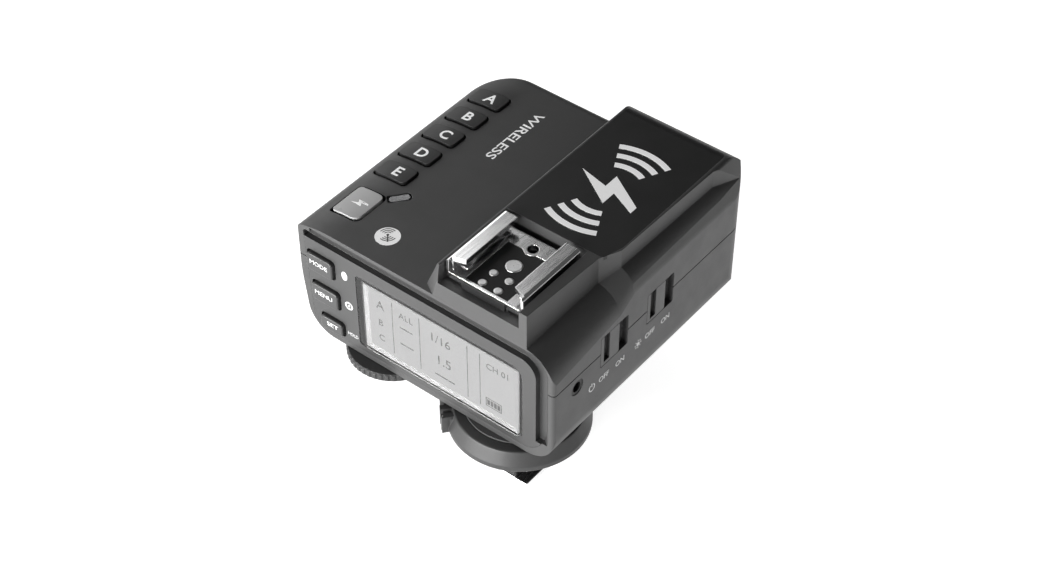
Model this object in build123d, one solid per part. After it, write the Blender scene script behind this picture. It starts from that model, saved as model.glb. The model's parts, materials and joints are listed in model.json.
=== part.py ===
from build123d import *
import math
import os

# Wireless flash trigger, millimetres.
# Origin: centre of the shoe foot's bottom face. +X is the photographer's right,
# +Y is towards the subject, +Z is up. The display faces -Y.

# Housing
left_x, right_x = -54.6, 17.9
rear_y, front_y = -11.0, 60.5
floor_z, seam_z, deck_z, block_z = 15.5, 37.2, 47.7, 56.7
wall = 1.8
boss_top_z = 40.6
left_draft = 2.6
left_floor_r, right_floor_r = 7.5, 7.6
left_front_r, right_front_r = 11.0, 5.5
rear_corner_r = 1.0
deck_edge_r = 2.6
front_floor_r = 7.0
crown_x, crown_r = left_x + left_front_r, 34.0
seam_height, seam_depth = 0.13, 0.3

# Raised block on the right of the deck
block_left_foot_x, block_left_x = -18.0, -13.9
block_right_x = 14.9
flare_z = 47.0
block_front_r = 5.8
block_corner_r = 4.0
cover_rear_y = 12.6
cover_thick = 1.0

# Hot shoe
shoe_x = -2.5
shoe_pocket_z = 52.0
shoe_pocket_x = 8.55
shoe_floor_z = 54.2
shoe_top_z = 57.7
shoe_rear_y, shoe_front_y = -8.6, 10.8
shoe_half = 10.3
shoe_inner_half = 9.35
lip_half_gap = 6.5
lip_thick = 1.3
base_thick = 1.55
contact_y = 1.3
pin_hole_y = contact_y + 6.5
small_dx, small_dy1, small_dy2 = 2.1, -4.2, -7.9

# Foot
foot_half = 9.3
foot_thick = 2.0
neck_half, neck_half_y = 5.4, 7.9
heel_half, heel_half_y, heel_z = 6.2, 9.0, 4.4
ring_z0, ring_z1 = 10.0, 15.0
ring_r0, ring_r1 = 16.4, 15.0
journal_r = 10.0
pin_reach = 0.6
small_pin_top = 3.5
lock_pin_y = 6.5
lock_pin_travel = 1.5

# Rear panel, window and keys
panel_x0, panel_x1 = -52.4, 15.2
panel_z0, panel_z1 = 17.0, 45.6
groove = 2.1
groove_depth = 1.5
window_x0, window_x1 = -37.4, 9.4
window_z0, window_z1 = 18.6, 40.0
lcd_x0, lcd_x1 = -35.7, 7.9
lcd_z0, lcd_z1 = 18.9, 38.2
rear_keys = {
    "mode": (-51.4, -43.8, 34.8, 39.9),
    "menu": (-50.6, -42.8, 26.0, 31.0),
    "set": (-48.6, -42.0, 18.2, 22.0),
}
key_gap = 0.4
rear_key_lift = 0.9

# Keys on the deck
group_names = ["e", "d", "c", "b", "a"]
group_first_y, group_pitch, group_length = 11.7, 8.33, 5.4
group_x0, group_x1 = -51.6, -42.5
group_lift = 0.6
group_gap, test_gap = 0.35, 0.55
lamp_recess = 0.9
test_x0, test_x1, test_y0, test_y1 = -50.3, -43.0, -3.7, 6.0

# Dial
dial_x, dial_y, dial_r = -34.2, -3.0, 11.2
dial_z0, dial_z1 = 13.1, 15.3
dial_hub_r, dial_hub_top = 5.0, 18.4
dial_ribs = 46

# Right side
switch_ys = {"power": 10.15, "assist": 27.0}
well_length, well_height, well_depth = 9.9, 8.8, 1.6
well_z = 37.4
knob_length = 6.5
jack_y, jack_z, jack_r = -2.9, 33.9, 1.3
usb_y = 12.0

# Batteries
cell_r, can_length, cell_length = 7.15, 49.0, 50.4
cell_z = 25.2
cell_ys = (31.2, 46.2)
bay_x0, bay_x1, bay_y0, bay_y1 = -49.0, 4.4, 23.4, 53.6
bay_top_z = 32.7
contact_thick = 0.3
door_thick = 1.6
hinge_y, hinge_z = 54.3, 16.4
barrel_r, hinge_pin_r = 0.9, 0.4
ear_xs = (-47.0, -22.3, 2.4)
ear_half = 1.3


def box(x0, x1, y0, y1, z0, z1):
    middle = ((x0 + x1) / 2, (y0 + y1) / 2, (z0 + z1) / 2)
    return Pos(*middle) * Box(x1 - x0, y1 - y0, z1 - z0)


def rod_x(x0, x1, y, z, r):
    return Pos((x0 + x1) / 2, y, z) * Rot(0, 90, 0) * Cylinder(r, x1 - x0)


def rod_y(x, y0, y1, z, r):
    return Pos(x, (y0 + y1) / 2, z) * Rot(90, 0, 0) * Cylinder(r, y1 - y0)


def rod_z(x, y, z0, z1, r):
    return Pos(x, y, (z0 + z1) / 2) * Cylinder(r, z1 - z0)


def slab(points, radii, at, length, direction):
    """A prism whose outline lies across one axis: 'x' (y, z), 'y' (x, z) or 'z' (x, y)."""
    place = {
        "x": lambda a, b: (at, a, b),
        "y": lambda a, b: (a, at, b),
        "z": lambda a, b: (a, b, at),
    }[direction]
    along = {"x": (1, 0, 0), "y": (0, 1, 0), "z": (0, 0, 1)}[direction]
    outline = FilletPolyline(*[place(a, b) for a, b in points], radius=radii, close=True)
    return extrude(make_face(outline), length, dir=along)


def rounded_box(x0, x1, y0, y1, z0, z1, r, axis="z"):
    """A box whose four edges along one axis are rounded."""
    if axis == "z":
        return slab([(x0, y0), (x1, y0), (x1, y1), (x0, y1)], [r] * 4, z0, z1 - z0, "z")
    if axis == "y":
        return slab([(x0, z0), (x1, z0), (x1, z1), (x0, z1)], [r] * 4, y0, y1 - y0, "y")
    return slab([(y0, z0), (y1, z0), (y1, z1), (y0, z1)], [r] * 4, x0, x1 - x0, "x")


def plan_prism(inset, z0, z1):
    """The housing's outline seen from above."""
    radii = [
        max(rear_corner_r - inset, 0.2),
        max(rear_corner_r - inset, 0.2),
        right_front_r - inset,
        left_front_r - inset,
    ]
    x0, x1 = left_x + inset, right_x - inset
    y0, y1 = rear_y + inset, front_y - inset
    return slab([(x0, y0), (x1, y0), (x1, y1), (x0, y1)], radii, z0, z1 - z0, "z")


def lower_form(inset):
    """The housing below the seam, with its rounded floor edges and drafted left wall."""
    across = [
        (left_x + inset, seam_z),
        (left_x + left_draft + inset, floor_z + inset),
        (right_x - inset, floor_z + inset),
        (right_x - inset, seam_z),
    ]
    radii = [0, left_floor_r - inset, right_floor_r - inset, 0]
    body = slab(across, radii, rear_y + inset, front_y - rear_y - 2 * inset, "y")
    along = [
        (rear_y + inset, seam_z),
        (rear_y + inset, floor_z + inset),
        (front_y - inset, floor_z + inset),
        (front_y - inset, seam_z),
    ]
    side = slab(along, [0, 0, front_floor_r - inset, 0], left_x, right_x - left_x, "x")
    return body & side & plan_prism(inset, floor_z, seam_z)


def deck_form():
    """The low part of the housing above the seam, crowned down to its left and rounded in front."""
    tail_y = rear_y - 6
    crown = rod_y(crown_x, tail_y - 1, front_y + 1, deck_z - crown_r, crown_r)
    crown += box(crown_x, 6, tail_y - 1, front_y + 1, seam_z - 1, deck_z)
    plan = [(left_x, tail_y), (right_x, tail_y), (right_x, front_y), (left_x, front_y)]
    body = slab(plan, [0, 0, right_front_r, left_front_r], seam_z, deck_z - seam_z, "z") & crown
    rim = [e for e in body.edges() if e.center().Z > deck_z - 4 and e.center().X < 5.9]
    left = [e for e in rim if e.center().X < crown_x - 5]
    front = [e for e in rim if e.center().X > crown_x + 5 and e.center().Y > front_y - 1]
    return fillet(left + front, deck_edge_r) & plan_prism(0, seam_z, deck_z)


def seam_groove(z0, z1):
    """Half of the fine groove that runs round the housing where the shells meet."""
    return plan_prism(-1, z0, z1) - plan_prism(seam_depth, z0 - 1, z1 + 1)


def block_corner_cut():
    """What rounds the block's front left corner, leaning with its left wall."""

    def section(x, z):
        r = block_corner_r
        edges = [
            Line((x - 1, front_y - r, z), (x, front_y - r, z)),
            ThreePointArc(
                (x, front_y - r, z),
                (x + r * (1 - math.cos(math.pi / 4)), front_y - r * (1 - math.sin(math.pi / 4)), z),
                (x + r, front_y, z),
            ),
            Line((x + r, front_y, z), (x + r, front_y + 1, z)),
            Line((x + r, front_y + 1, z), (x - 1, front_y + 1, z)),
            Line((x - 1, front_y + 1, z), (x - 1, front_y - r, z)),
        ]
        return make_face(edges)

    return loft([section(block_left_foot_x, deck_z), section(block_left_x, block_z)], ruled=True)


def block_form():
    """The raised block, with its flared right side, before the shoulder is scooped out."""
    across = [
        (block_left_foot_x, seam_z),
        (block_left_foot_x, deck_z),
        (block_left_x, block_z),
        (block_right_x, block_z),
        (right_x, flare_z),
        (right_x, seam_z),
    ]
    body = slab(across, [0, 0, 0.5, 1.0, 4.0, 0], rear_y, front_y - rear_y, "y")
    along = [(rear_y, seam_z), (rear_y, block_z), (front_y, block_z), (front_y, seam_z)]
    side = slab(along, [0, 0, block_front_r, 0], left_x, right_x - left_x, "x")
    block = body & side & plan_prism(0, seam_z, block_z)
    corner = Plane(origin=(-18.0, -9.0, deck_z), z_dir=(-0.52, -0.84, 0.15))
    return split(block, bisect_by=corner, keep=Keep.BOTTOM) - block_corner_cut()


def scoop():
    """The cut beside the block: a steep wall above a round shoulder, running out in front."""

    def section(y, wall_x, crease_z, bend_x, bend_z, side_z):
        top_z = block_z + 2
        edges = [
            Line((wall_x, y, top_z), (wall_x, y, crease_z)),
            ThreePointArc((wall_x, y, crease_z), (bend_x, y, bend_z), (right_x, y, side_z)),
            Line((right_x, y, side_z), (right_x + 2, y, side_z)),
            Line((right_x + 2, y, side_z), (right_x + 2, y, top_z)),
            Line((right_x + 2, y, top_z), (wall_x, y, top_z)),
        ]
        return make_face(edges)

    sections = [
        section(rear_y - 0.5, 10.6, 47.1, 15.3, 44.8, 40.2),
        section(cover_rear_y - 0.6, 11.7, 49.6, 15.9, 47.6, 43.6),
        section(17.0, 14.0, 51.8, 16.6, 50.0, 46.6),
        section(50.0, 14.6, 52.0, 16.8, 50.1, 46.9),
        section(58.6, 16.9, 50.6, 17.6, 49.6, 47.4),
    ]
    cut = loft(sections[0:2], ruled=True)
    for first, second in zip(sections[1:], sections[2:]):
        cut += loft([first, second], ruled=True)
    return cut


def upper_cavity():
    """The room inside the top shell."""
    across = [
        (left_x + wall, seam_z - 1),
        (left_x + wall, deck_z - 5.5),
        (left_x + 5.4, deck_z - wall),
        (7.0, deck_z - wall),
        (11.0, 44.4),
        (right_x - wall, 39.4),
        (right_x - wall, seam_z - 1),
    ]
    low = slab(across, [0] * 7, rear_y + wall, front_y - rear_y - 2 * wall, "y")
    low = low & plan_prism(wall, seam_z - 1, deck_z)
    low -= box(left_x, right_x, front_y - 5, front_y, deck_z - 4.6, deck_z)
    return low + box(-12.0, 12.0, cover_rear_y + 2, front_y - 8, deck_z - wall - 1, block_z - 2.2)


def cover_pocket():
    """Space on top of the block for the glossy cover."""
    points = [
        (block_left_x + 0.5, cover_rear_y),
        (12.2, cover_rear_y),
        (13.7, 18.0),
        (13.7, front_y - block_front_r + 2.6),
        (block_left_x + 0.5, front_y - block_front_r + 2.6),
    ]
    return slab(points, [0, 1.4, 0, 2.5, 0.5], block_z - cover_thick - 0.6, 3, "z")


def cover_core():
    """The block's surface under the cover."""
    along = [
        (rear_y, seam_z),
        (rear_y, block_z - cover_thick),
        (front_y - cover_thick, block_z - cover_thick),
        (front_y - cover_thick, seam_z),
    ]
    return slab(along, [0, 0, block_front_r - cover_thick, 0], left_x, right_x - left_x, "x")


def antenna_cover():
    return (block_form() & cover_pocket()) - cover_core()


def shoe_pocket():
    """The recess round the shoe, open at the rear so that a foot slides in."""
    return box(shoe_x - 10.7, shoe_pocket_x, rear_y - 1, cover_rear_y - 0.2, shoe_pocket_z, block_z + 3)


def group_key_outline(index, grow, z0, z1):
    y0 = group_first_y + index * group_pitch
    return rounded_box(
        group_x0 - grow, group_x1 + grow, y0 - grow, y0 + group_length + grow, z0, z1, 1.2
    )


def test_key_outline(grow, z0, z1):
    points = [
        (test_x0 - grow, test_y0 - grow),
        (test_x1 + grow, test_y0 - grow),
        (test_x1 + grow, test_y1 + grow),
        (test_x0 - grow, test_y1 + grow),
    ]
    return slab(points, [0.9, 1.8, 1.4, 0.9], z0, z1 - z0, "z")


def lamp_outline(grow, z0, z1):
    """The slanted status lamp at the test key's front right corner."""
    lens = rounded_box(-2.4 - grow, 2.4 + grow, -0.85 - grow, 0.85 + grow, 0, z1 - z0, 0.8)
    return Pos(-40.6, 8.1, z0) * Rot(0, 0, 52) * lens


def switch_well(y):
    return rounded_box(
        right_x - well_depth, right_x + 1, y - well_length / 2, y + well_length / 2,
        well_z - well_height / 2, well_z + well_height / 2, 0.5, "x"
    )


def switch_slot(y):
    """The through slot at the back of a well, for the knob's stem."""
    return box(right_x - 4, right_x, y - 3.6, y + 3.6, well_z - 1.3, well_z + 1.3)


def panel_face(grow, y):
    points = [
        (panel_x0 - grow, panel_z1 + grow),
        (panel_x0 + 1.4 - grow, panel_z0 - grow),
        (panel_x1 + grow, panel_z0 - grow),
        (panel_x1 + grow, panel_z1 + grow),
    ]
    outline = FilletPolyline(*[(x, y, z) for x, z in points], radius=[1.0, 5.0, 6.5, 5.0], close=True)
    return make_face(outline)


def panel_outline(grow, y0, y1):
    return extrude(panel_face(grow, y0), y1 - y0, dir=(0, 1, 0))


def panel_bevel():
    """The slope that leads into the groove along the panel's top and right side."""
    slope = loft([panel_face(1.15, rear_y - 0.01), panel_face(0.05, rear_y + 1.2)], ruled=True)
    return slope & box(panel_x0 + 2.0, right_x, rear_y - 1, rear_y + 2, panel_z0 + 4.0, block_z)


def rear_key_outline(name, grow, y0, y1):
    x0, x1, z0, z1 = rear_keys[name]
    return rounded_box(x0 - grow, x1 + grow, y0, y1, z0 - grow, z1 + grow, 1.1, "y")


def window_outline(grow, y0, y1):
    points = [
        (window_x0 - grow, window_z1 + grow),
        (window_x0 - grow, window_z0 - grow),
        (window_x1 + grow, window_z0 - grow),
        (window_x1 + grow, window_z1 + grow),
    ]
    return slab(points, [1.0, 1.0, 2.0, 3.0], y0, y1 - y0, "y")


def top_shell():
    shell = deck_form() + block_form() - scoop() - upper_cavity()
    shell -= (block_form() & cover_pocket()) - cover_core()
    shell -= shoe_pocket()
    shell -= panel_outline(0.05, rear_y - 1, rear_y + 2.8)
    shell -= panel_bevel()
    shell -= seam_groove(seam_z - 1, seam_z + seam_height)
    for index in range(len(group_names)):
        shell -= group_key_outline(index, group_gap, seam_z, block_z)
    shell -= test_key_outline(test_gap, seam_z, block_z)
    shell -= lamp_outline(0.45, deck_z - lamp_recess, block_z)
    shell -= lamp_outline(0.03, seam_z, block_z)
    for y in switch_ys.values():
        shell -= switch_well(y)
        shell -= switch_slot(y)
    # Screw bosses of the shoe, and those that take the case screws, ribbed to the walls
    for x, y in shoe_screw_places():
        shell += rod_z(x, y, 47.0, shoe_pocket_z, 2.0)
        shell -= rod_z(x, y, 48.0, shoe_pocket_z + 1, 0.8)
    for x, y in case_screw_places():
        shell += rod_z(x, y, seam_z, boss_top_z, 2.3)
    shell += box(left_x + 1, -46.6, 19.2, 20.8, seam_z, boss_top_z)
    shell += box(13.2, right_x - 1, 17.6, 19.2, seam_z, boss_top_z)
    shell += box(9.2, 10.8, 55.6, front_y - 1, seam_z, boss_top_z)
    for x, y in case_screw_places():
        shell -= rod_z(x, y, seam_z - 1, boss_top_z - 0.4, 0.9)
    return shell


def shoe_screw_places():
    return [(shoe_x + dx, y) for dx in (-7.9, 7.9) for y in (-4.6, 8.4)]


def case_screw_places():
    return [(-46.6, 20.0), (13.2, 18.4), (10.0, 55.6)]


def bottom_shell():
    shell = lower_form(0) - lower_form(wall)
    # Walls of the battery bay
    bay = box(bay_x0 - 1.2, bay_x1 + 1.2, bay_y0 - 1.2, bay_y1 + 1.0, floor_z + 1, bay_top_z + 1.2)
    bay -= box(bay_x0 - 2, bay_x1 + 2, bay_y1, front_y, floor_z, 19.4)
    shell += (bay & lower_form(0.5)) - box(bay_x0, bay_x1, bay_y0, bay_y1, floor_z, bay_top_z)
    # Door opening with a ledge at its rear edge, and ears for the hinge pin
    shell -= box(bay_x0, bay_x1, bay_y0, hinge_y + barrel_r + 0.25, floor_z - 1, floor_z + wall + 0.2)
    shell += box(
        bay_x0 - 1, bay_x1 + 1, bay_y0 - 1.5, bay_y0 + 0.9, floor_z + door_thick + 0.1, floor_z + 3.4
    )
    for x in ear_xs:
        shell += box(
            x - ear_half, x + ear_half, hinge_y - barrel_r, hinge_y + 2.0, floor_z, hinge_z + 1.6
        )
    shell -= rod_x(bay_x0 + 0.3, bay_x1 - 0.3, hinge_y, hinge_z, hinge_pin_r)
    # Openings for the dial's hub and the rear panel
    shell -= rod_z(dial_x, dial_y, floor_z - 1, floor_z + 3, dial_hub_r + 0.3)
    shell -= panel_outline(0.05, rear_y - 1, rear_y + 2.8)
    shell -= panel_bevel()
    shell -= seam_groove(seam_z - seam_height, seam_z + 1)
    for y in switch_ys.values():
        shell -= switch_well(y)
        shell -= switch_slot(y)
    # Sync jack, USB socket and focus assist window
    shell -= rod_x(right_x - 4, right_x + 1, jack_y, jack_z, 2.05)
    shell -= rounded_box(left_x - 2, left_x + 6, usb_y - 4.6, usb_y + 4.6, 30.2, 33.6, 1.6, "x")
    shell -= focus_outline(0.03, front_y - 4, front_y + 1)
    for x, y in case_screw_places():
        shell += rod_z(x, y, floor_z + 0.6, seam_z, 2.4) & lower_form(0.3)
        shell -= rod_z(x, y, floor_z - 1, floor_z + 3.0, 1.9)
        shell -= rod_z(x, y, floor_z - 1, seam_z + 1, 1.1)
    for x, y in foot_screw_places():
        shell -= rod_z(x, y, floor_z - 1, floor_z + 3, 0.8)
    return shell


def rear_panel():
    body = panel_outline(0, rear_y + groove_depth, rear_y + 2.8)
    face = panel_outline(0, rear_y, rear_y + groove_depth + 0.1)
    raised = [
        (panel_x0 - 5, panel_z1 - groove),
        (panel_x0 - 5, panel_z0 - 5),
        (panel_x1 - groove, panel_z0 - 5),
        (panel_x1 - groove, panel_z1 - groove),
    ]
    body += face & slab(raised, [0, 0, 0, 4.2], rear_y, groove_depth + 0.1, "y")
    # A cheek of the panel fills the groove's lower end
    body += face & box(panel_x1 - 4, panel_x1 + 1, rear_y, rear_y + 2, panel_z0, panel_z0 + 3.6)
    body -= window_outline(0.03, rear_y - 1, rear_y + 1.0)
    body -= box(lcd_x0 - 0.4, lcd_x1 + 0.4, rear_y, rear_y + 4, lcd_z0 - 0.1, lcd_z1 + 0.4)
    for name in rear_keys:
        body -= rear_key_outline(name, key_gap, rear_y - 1, rear_y + 4)
    return body


def display_window():
    return window_outline(0, rear_y + 0.1, rear_y + 1.0)


def lcd_module():
    return box(lcd_x0, lcd_x1, rear_y + 1.0, rear_y + 3.2, lcd_z0, lcd_z1)


def lcd_backlight():
    return box(lcd_x0, lcd_x1, rear_y + 3.2, rear_y + 5.0, lcd_z0, lcd_z1)


def display_board():
    return box(-50.0, 8.2, rear_y + 5.0, rear_y + 6.4, 21.4, 41.6)


def rear_key(name):
    """A key standing just proud of the panel, with a flange behind it on two sides."""
    x0, x1, z0, z1 = rear_keys[name]
    head = rear_key_outline(name, 0, rear_y - rear_key_lift, rear_y + 3.6)
    head = fillet(head.faces().sort_by(Axis.Y)[0].edges(), 0.4)
    return head + box(x0 + 2.0, x1 + 0.7, rear_y + 2.9, rear_y + 3.6, z0 + 0.6, z1 + 0.6)


def rear_key_mat():
    """The rubber mat between the keys and the display board."""
    return box(-48.4, -41.2, rear_y + 4.3, rear_y + 5.0, 18.8, 40.2)


def group_key(index):
    """A key whose top follows the deck's crown, on a flange under the deck."""
    head = group_key_outline(index, 0, deck_z - 3.4, deck_z + 3)
    crown = Pos(0, 0, group_lift) * deck_form()
    head = head & crown
    y0 = group_first_y + index * group_pitch
    flange = box(
        group_x0 + 2.2, group_x1 + 0.7, y0 - 0.6, y0 + group_length + 0.6, deck_z - 3.4, deck_z - 2.6
    )
    return head + flange


def group_key_mat():
    """The rubber mat on the main board, under the group keys and the test key."""
    y1 = group_first_y + 4 * group_pitch + group_length
    mat = box(-49.0, group_x1 + 1.2, test_y0, y1 + 1, boss_top_z + 1.6, 43.2)
    return mat - lamp_outline(0.2, boss_top_z, deck_z)


def test_key():
    head = test_key_outline(0, deck_z - 3.4, deck_z + 3)
    head = head & (Pos(0, 0, 0.35) * deck_form())
    flange = box(test_x0 + 1.0, test_x1 + 0.7, test_y0 - 0.6, test_y1 + 0.6, deck_z - 3.4, deck_z - 2.6)
    return head + flange


def status_lamp():
    return lamp_outline(0, boss_top_z + 1.6, deck_z - 0.05)


def main_board():
    """The board across the housing, with a wing under the test key."""
    board = box(-50.0, 13.0, 9.0, 54.4, boss_top_z, boss_top_z + 1.6)
    return board + box(-50.0, -38.6, -3.8, 9.0, boss_top_z, boss_top_z + 1.6)


def tact_switches():
    """A switch under each group key and one under the test key."""
    ys = [group_first_y + k * group_pitch + group_length / 2 for k in range(len(group_names))]
    ys.append((test_y0 + test_y1) / 2)
    return [box(-47.6, -44.6, y - 1.5, y + 1.5, 43.2, 43.6) for y in ys]


def radio_module():
    can = rounded_box(-9.0, 6.0, 20.0, 38.0, 42.2, 45.0, 0.8)
    return can


def antenna():
    """A printed loop on its own small board at the top of the block."""
    board = box(-9.5, 9.5, 17.0, 48.0, 52.4, 53.4)
    post = rod_z(-7.5, 45.0, 42.2, 52.4, 1.0) + rod_z(7.5, 45.0, 42.2, 52.4, 1.0)
    return board + post


def select_dial():
    """The knurled wheel under the rear left corner, with a shallow dish in its underside."""
    wheel = rod_z(dial_x, dial_y, dial_z0, dial_z1, dial_r)
    wheel = chamfer(wheel.edges().filter_by(GeomType.CIRCLE), 0.4)
    notches = []
    for k in range(dial_ribs):
        turn = 2 * math.pi * k / dial_ribs
        x = dial_x + (dial_r + 0.1) * math.cos(turn)
        y = dial_y + (dial_r + 0.1) * math.sin(turn)
        notches.append(rod_z(x, y, dial_z0 - 1, dial_z1 + 1, 0.42))
    wheel -= notches
    wheel -= rod_z(dial_x, dial_y, dial_z0 - 1, dial_z0 + 0.6, dial_r - 3.0)
    wheel += rod_z(dial_x, dial_y, dial_z1, dial_hub_top, dial_hub_r)
    return wheel - rod_z(dial_x, dial_y, dial_z0 + 1.4, dial_hub_top + 1, 2.0)


def dial_shaft():
    return rod_z(dial_x, dial_y, dial_z0 + 1.4, dial_hub_top + 2.8, 2.0)


def dial_encoder():
    """The turn sensor above the dial, soldered to the display board."""
    can = rounded_box(
        dial_x - 5.5, dial_x + 5.5, rear_y + 6.4, rear_y + 14.4, dial_hub_top + 0.8, 25.4, 0.6
    )
    return can - rod_z(dial_x, dial_y, dial_hub_top, dial_hub_top + 3.2, 2.05)


def slide_knob(y):
    """A thumb knob with a groove near its rear end, and a stem into its switch."""
    x0, x1 = right_x - well_depth + 0.15, right_x - 0.02
    y0 = y - well_length / 2 + 0.15
    half = well_height / 2 - 0.15
    head = rounded_box(x0, x1, y0, y0 + knob_length, well_z - half, well_z + half, 0.4, "x")
    head -= box(x1 - 1.0, x1 + 1, y0 + 1.1, y0 + 3.1, well_z - half + 0.8, well_z + half + 1)
    return head + box(right_x - 4.6, x0 + 0.1, y - 2.3, y - 0.7, well_z - 1.0, well_z + 1.0)


def slide_switches():
    """The two switches on the housing's inner right side, one solid each."""
    parts = []
    for y in switch_ys.values():
        can = box(right_x - 7.6, right_x - 3.0, y - 5.2, y + 5.2, well_z - 3.1, well_z + 3.1)
        can -= box(right_x - 5.2, right_x, y - 4.2, y + 4.2, well_z - 1.2, well_z + 1.2)
        parts.append(can)
    return parts


def sync_jack():
    barrel = rod_x(right_x - 9.5, right_x - 0.15, jack_y, jack_z, 2.0)
    barrel -= rod_x(right_x - 9.0, right_x + 1, jack_y, jack_z, jack_r)
    return barrel


def usb_socket():
    x0, x1 = left_x + 1.2, left_x + 8.0
    can = rounded_box(x0, x1, usb_y - 4.5, usb_y + 4.5, 30.3, 33.5, 1.5, "x")
    can -= rounded_box(x0 - 1, x1 - 0.8, usb_y - 4.15, usb_y + 4.15, 30.65, 33.15, 1.2, "x")
    return can + box(x0 + 0.7, x1 - 0.4, usb_y - 3.2, usb_y + 3.2, 31.55, 32.25)


def shoe_rails():
    """The bent steel channel: floor with a window for the contacts, walls and lips."""
    x0, x1 = shoe_x - shoe_half, shoe_x + shoe_half
    floor_bottom = shoe_floor_z - base_thick
    body = box(x0, x1, shoe_rear_y, shoe_front_y, floor_bottom, shoe_top_z)
    outer = body.edges().filter_by(Axis.Y)
    body = fillet(outer.sort_by(Axis.Z)[-2:], 0.9)
    body -= box(
        shoe_x - shoe_inner_half, shoe_x + shoe_inner_half, shoe_rear_y - 1, shoe_front_y + 1,
        shoe_floor_z, shoe_top_z - lip_thick
    )
    body -= box(
        shoe_x - lip_half_gap, shoe_x + lip_half_gap, shoe_rear_y - 1, shoe_front_y + 1,
        shoe_floor_z, shoe_top_z + 1
    )
    # The lips stop short of the rear edge, cut back at a slant
    for side in (-1, 1):
        cut = [
            (shoe_x + side * (lip_half_gap - 1), shoe_rear_y - 1),
            (shoe_x + side * (shoe_inner_half + 0.2), shoe_rear_y - 1),
            (shoe_x + side * (shoe_inner_half + 0.2), shoe_rear_y + 1.2),
            (shoe_x + side * (lip_half_gap - 1), shoe_rear_y + 2.4),
        ]
        body -= slab(cut, [0] * 4, shoe_floor_z, 5, "z")
    # Window for the contacts, with a tab that carries the lock pin hole
    window = box(
        shoe_x - 5.7, shoe_x + 5.7, shoe_rear_y + 0.7, pin_hole_y - 1.2, floor_bottom - 1, shoe_floor_z + 1
    )
    window -= rod_z(shoe_x, pin_hole_y, floor_bottom - 1, shoe_floor_z + 1, 2.1)
    body -= window
    body -= rod_z(shoe_x, pin_hole_y, floor_bottom - 1, shoe_floor_z + 1, 1.3)
    for x, y in shoe_screw_places():
        body -= rod_z(x, y, floor_bottom - 1, shoe_floor_z + 1, 1.25)
    return body


def shoe_insulator():
    floor_bottom = shoe_floor_z - base_thick
    body = box(shoe_x - 6.4, shoe_x + 6.4, shoe_rear_y, pin_hole_y + 2.6, shoe_pocket_z, floor_bottom)
    body += box(
        shoe_x - 5.7, shoe_x + 5.7, shoe_rear_y - 0.4, shoe_rear_y, shoe_pocket_z, shoe_floor_z - 0.35
    )
    raised = box(
        shoe_x - 5.65, shoe_x + 5.65, shoe_rear_y + 0.75, pin_hole_y - 1.25, floor_bottom, shoe_floor_z - 0.1
    )
    raised -= rod_z(shoe_x, pin_hole_y, floor_bottom - 1, shoe_floor_z + 1, 2.15)
    body += raised
    body -= rod_z(shoe_x, contact_y, shoe_pocket_z - 1, shoe_floor_z + 1, 1.95)
    for x, y in small_contact_places():
        body -= rod_z(x, y, shoe_pocket_z - 1, shoe_floor_z + 1, 1.05)
    return body - rod_z(shoe_x, pin_hole_y, shoe_pocket_z - 1, shoe_floor_z + 1, 1.3)


def small_contact_places():
    return [
        (shoe_x + side * small_dx, contact_y + dy) for side in (-1, 1) for dy in (small_dy1, small_dy2)
    ]


def shoe_centre_contact():
    pad = rod_z(shoe_x, contact_y, shoe_pocket_z, shoe_floor_z + 0.05, 1.95)
    return fillet(pad.edges().filter_by(GeomType.CIRCLE).sort_by(Axis.Z)[-1], 0.25)


def shoe_small_contacts():
    parts = []
    for x, y in small_contact_places():
        pad = rod_z(x, y, shoe_pocket_z, shoe_floor_z + 0.05, 1.05)
        parts.append(fillet(pad.edges().filter_by(GeomType.CIRCLE).sort_by(Axis.Z)[-1], 0.3))
    return parts


def shoe_springs():
    """A bowed leaf on each side of the channel floor, which grips a foot."""
    parts = []
    for side in (-1, 1):
        x0 = shoe_x + side * 8.0 - 1.1
        low, rise, thick = shoe_floor_z, 1.3, 0.18
        y0, y1 = -5.6, 8.8
        middle = (y0 + y1) / 2
        edges = [
            Line((x0, y0, low), (x0, y0 + 1.4, low)),
            ThreePointArc((x0, y0 + 1.4, low), (x0, middle, low + rise), (x0, y1 - 1.4, low)),
            Line((x0, y1 - 1.4, low), (x0, y1, low)),
            Line((x0, y1, low), (x0, y1, low + thick)),
            Line((x0, y1, low + thick), (x0, y1 - 1.2, low + thick)),
            ThreePointArc(
                (x0, y1 - 1.2, low + thick), (x0, middle, low + rise + thick), (x0, y0 + 1.2, low + thick)
            ),
            Line((x0, y0 + 1.2, low + thick), (x0, y0, low + thick)),
            Line((x0, y0, low + thick), (x0, y0, low)),
        ]
        parts.append(extrude(make_face(edges), 2.2, dir=(1, 0, 0)))
    return parts


def shoe_screws():
    parts = []
    for x, y in shoe_screw_places():
        head = rod_z(x, y, shoe_floor_z - base_thick, shoe_floor_z - 0.05, 1.25)
        shank = rod_z(x, y, 48.2, shoe_floor_z - base_thick, 0.8)
        slot = box(x - 0.9, x + 0.9, y - 0.15, y + 0.15, shoe_floor_z - 0.5, shoe_floor_z)
        parts.append(head + shank - slot)
    return parts


def foot_screw_places():
    return [(sx * 8.0, sy * 2.6) for sx in (-1, 1) for sy in (-1, 1)]


def foot_pin_places():
    return [(side * small_dx, dy) for side in (-1, 1) for dy in (small_dy1, small_dy2)]


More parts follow.
